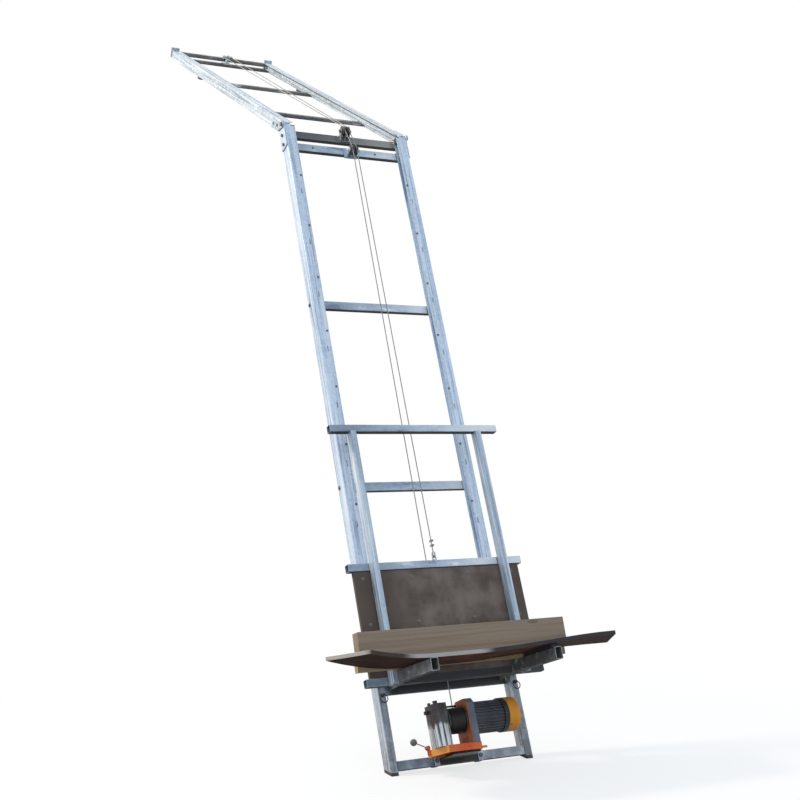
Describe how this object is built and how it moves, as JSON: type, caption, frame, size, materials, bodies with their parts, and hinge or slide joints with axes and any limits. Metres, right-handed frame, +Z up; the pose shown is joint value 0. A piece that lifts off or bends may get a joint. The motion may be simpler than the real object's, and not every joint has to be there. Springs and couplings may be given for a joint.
{
  "type": "inclined material hoist",
  "caption": "Leaning two-rail hoist for a roof: tube mast with a bent head, rope winch at the foot and a roller carriage with a timber load deck.",
  "frame": {"origin": "on the ground, midway between the two feet, at the front edge of their soles", "axes": "+X to the right along the rungs seen from the loading side, +Y away from the loading side towards the building, +Z up"},
  "size_m": [1.5942, 4.2543, 4.6106],
  "materials": {
    "galvanised_steel": "hot-dip galvanised, dull with a light spangle",
    "bright_steel": "zinc-plated, satin",
    "wire_rope": "galvanised strands, dull with grease",
    "black_rubber": "matt",
    "black_steel": "black paint, worn satin",
    "black_plastic": "matt moulded",
    "cast_alloy": "cast, dark and oily with milky streaks",
    "orange_paint": "orange-red paint, worn satin",
    "amber_paint": "amber paint, satin",
    "motor_grey": "blue-grey paint, satin",
    "core_iron": "laminated iron with varnished copper",
    "film_plywood": "brown film-faced plywood, worn",
    "pale_timber": "sawn softwood, weathered"
  },
  "bodies": {
    "ladder": {"base_stiles": "galvanised_steel", "mast_stiles": "galvanised_steel", "mast_rails": "galvanised_steel", "ladder_rungs": "galvanised_steel", "section_spigots": "galvanised_steel", "lock_pins": "black_steel", "feet": "black_rubber", "rail_ends": "black_rubber", "knee_plates": "galvanised_steel", "knee_bolts": "bright_steel", "knee_block": "galvanised_steel", "upper_block": "galvanised_steel", "winch_bracket": "black_steel", "winch_clamps": "galvanised_steel", "winch_tray": "orange_paint", "gearbox_housing": "cast_alloy", "gearbox_cover": "cast_alloy", "gearbox_plugs": "black_plastic", "counter_shaft": "bright_steel", "drum_plate": "orange_paint", "motor_flange": "motor_grey", "tie_rods": "black_steel", "motor_body": "motor_grey", "motor_shield": "black_steel", "fan_cover": "amber_paint", "terminal_box": "black_plastic", "stator": "core_iron", "rope_winch_line": "wire_rope", "rope_knee_run": "wire_rope"},
    "head": {"head_stiles": "galvanised_steel", "head_rails": "galvanised_steel", "head_rungs": "galvanised_steel", "head_plates": "galvanised_steel", "head_pads": "black_rubber", "end_block": "galvanised_steel", "rope_head_loop": "wire_rope"},
    "end_sheave": {"end_sheave": "bright_steel"},
    "carriage": {"carriage_top_bar": "galvanised_steel", "carriage_cross_bars": "galvanised_steel", "carriage_uprights": "galvanised_steel", "carriage_brackets": "galvanised_steel", "load_arms": "galvanised_steel", "deck_batten": "pale_timber", "deck_board": "film_plywood", "back_board": "film_plywood", "kick_timber": "pale_timber", "rope_shackle": "bright_steel", "rope_fall": "wire_rope"},
    "lower_rollers": {"lower_rollers": "black_plastic"},
    "upper_rollers": {"upper_rollers": "black_plastic"},
    "knee_sheave_rising": {"knee_sheave_rising": "black_plastic"},
    "knee_sheave_falling": {"knee_sheave_falling": "black_plastic"},
    "upper_sheave_rising": {"upper_sheave_rising": "black_plastic"},
    "upper_sheave_falling": {"upper_sheave_falling": "black_plastic"},
    "drum": {"drum": "black_steel", "drum_rope": "wire_rope"},
    "cluster_gear": {"cluster_gear": "bright_steel"},
    "rotor": {"rotor": "bright_steel", "motor_fan": "black_plastic"},
    "limit_lever": {"limit_lever": "black_plastic"}
  },
  "joints": [
    {"name": "carriage_slide", "type": "slide", "parent": "ladder", "child": "carriage", "axis": [0, 0.3891, 0.9212], "range_m": [0, 2.4], "deforming": ["rope_fall", "drum_rope"]},
    {"name": "head_fold", "type": "hinge", "parent": "ladder", "child": "head", "pos_m": [0, 1.48544, 3.4857], "axis": [1, 0, 0], "range_deg": [0, 30], "deforming": ["rope_knee_run"]},
    {"name": "limit_lever_swing", "type": "hinge", "parent": "ladder", "child": "limit_lever", "pos_m": [-0.222, -0.02901, 0.12407], "axis": [0, 0.9212, -0.3891], "range_deg": [0, 30]},
    {"name": "end_sheave_spin", "type": "hinge", "parent": "head", "child": "end_sheave", "pos_m": [0.0175, 3.81102, 4.56808], "axis": [0, -0.4131, 0.9107], "continuous": true},
    {"name": "knee_sheave_rising_spin", "type": "hinge", "parent": "ladder", "child": "knee_sheave_rising", "pos_m": [0, 1.4072, 3.35701], "axis": [1, 0, 0], "continuous": true},
    {"name": "knee_sheave_falling_spin", "type": "hinge", "parent": "ladder", "child": "knee_sheave_falling", "pos_m": [0, 1.4072, 3.35701], "axis": [1, 0, 0], "continuous": true},
    {"name": "upper_sheave_rising_spin", "type": "hinge", "parent": "ladder", "child": "upper_sheave_rising", "pos_m": [0, 1.48544, 3.4857], "axis": [1, 0, 0], "continuous": true},
    {"name": "upper_sheave_falling_spin", "type": "hinge", "parent": "ladder", "child": "upper_sheave_falling", "pos_m": [0, 1.48544, 3.4857], "axis": [1, 0, 0], "continuous": true},
    {"name": "drum_spin", "type": "hinge", "parent": "ladder", "child": "drum", "pos_m": [0, -0.03634, 0.24549], "axis": [1, 0, 0], "continuous": true},
    {"name": "cluster_gear_spin", "type": "hinge", "parent": "ladder", "child": "cluster_gear", "pos_m": [0, -0.05677, 0.19713], "axis": [1, 0, 0], "continuous": true},
    {"name": "rotor_spin", "type": "hinge", "parent": "ladder", "child": "rotor", "pos_m": [0, -0.03634, 0.24549], "axis": [1, 0, 0], "continuous": true},
    {"name": "lower_rollers_spin", "type": "hinge", "parent": "carriage", "child": "lower_rollers", "pos_m": [0, 0.21493, 0.45742], "axis": [1, 0, 0], "continuous": true},
    {"name": "upper_rollers_spin", "type": "hinge", "parent": "carriage", "child": "upper_rollers", "pos_m": [0, 0.413, 0.9263], "axis": [1, 0, 0], "continuous": true}
  ],
  "couplings": [
    {"joint": "end_sheave_spin", "follows": "carriage_slide", "rad_per_m": 28.571},
    {"joint": "knee_sheave_rising_spin", "follows": "carriage_slide", "rad_per_m": 40},
    {"joint": "knee_sheave_falling_spin", "follows": "carriage_slide", "rad_per_m": -40},
    {"joint": "upper_sheave_rising_spin", "follows": "carriage_slide", "rad_per_m": 40},
    {"joint": "upper_sheave_falling_spin", "follows": "carriage_slide", "rad_per_m": -40},
    {"joint": "drum_spin", "follows": "carriage_slide", "rad_per_m": -17.544},
    {"joint": "cluster_gear_spin", "follows": "carriage_slide", "rad_per_m": 70.175},
    {"joint": "rotor_spin", "follows": "carriage_slide", "rad_per_m": -280.7},
    {"joint": "lower_rollers_spin", "follows": "carriage_slide", "rad_per_m": -60.606},
    {"joint": "upper_rollers_spin", "follows": "carriage_slide", "rad_per_m": 60.606}
  ]
}
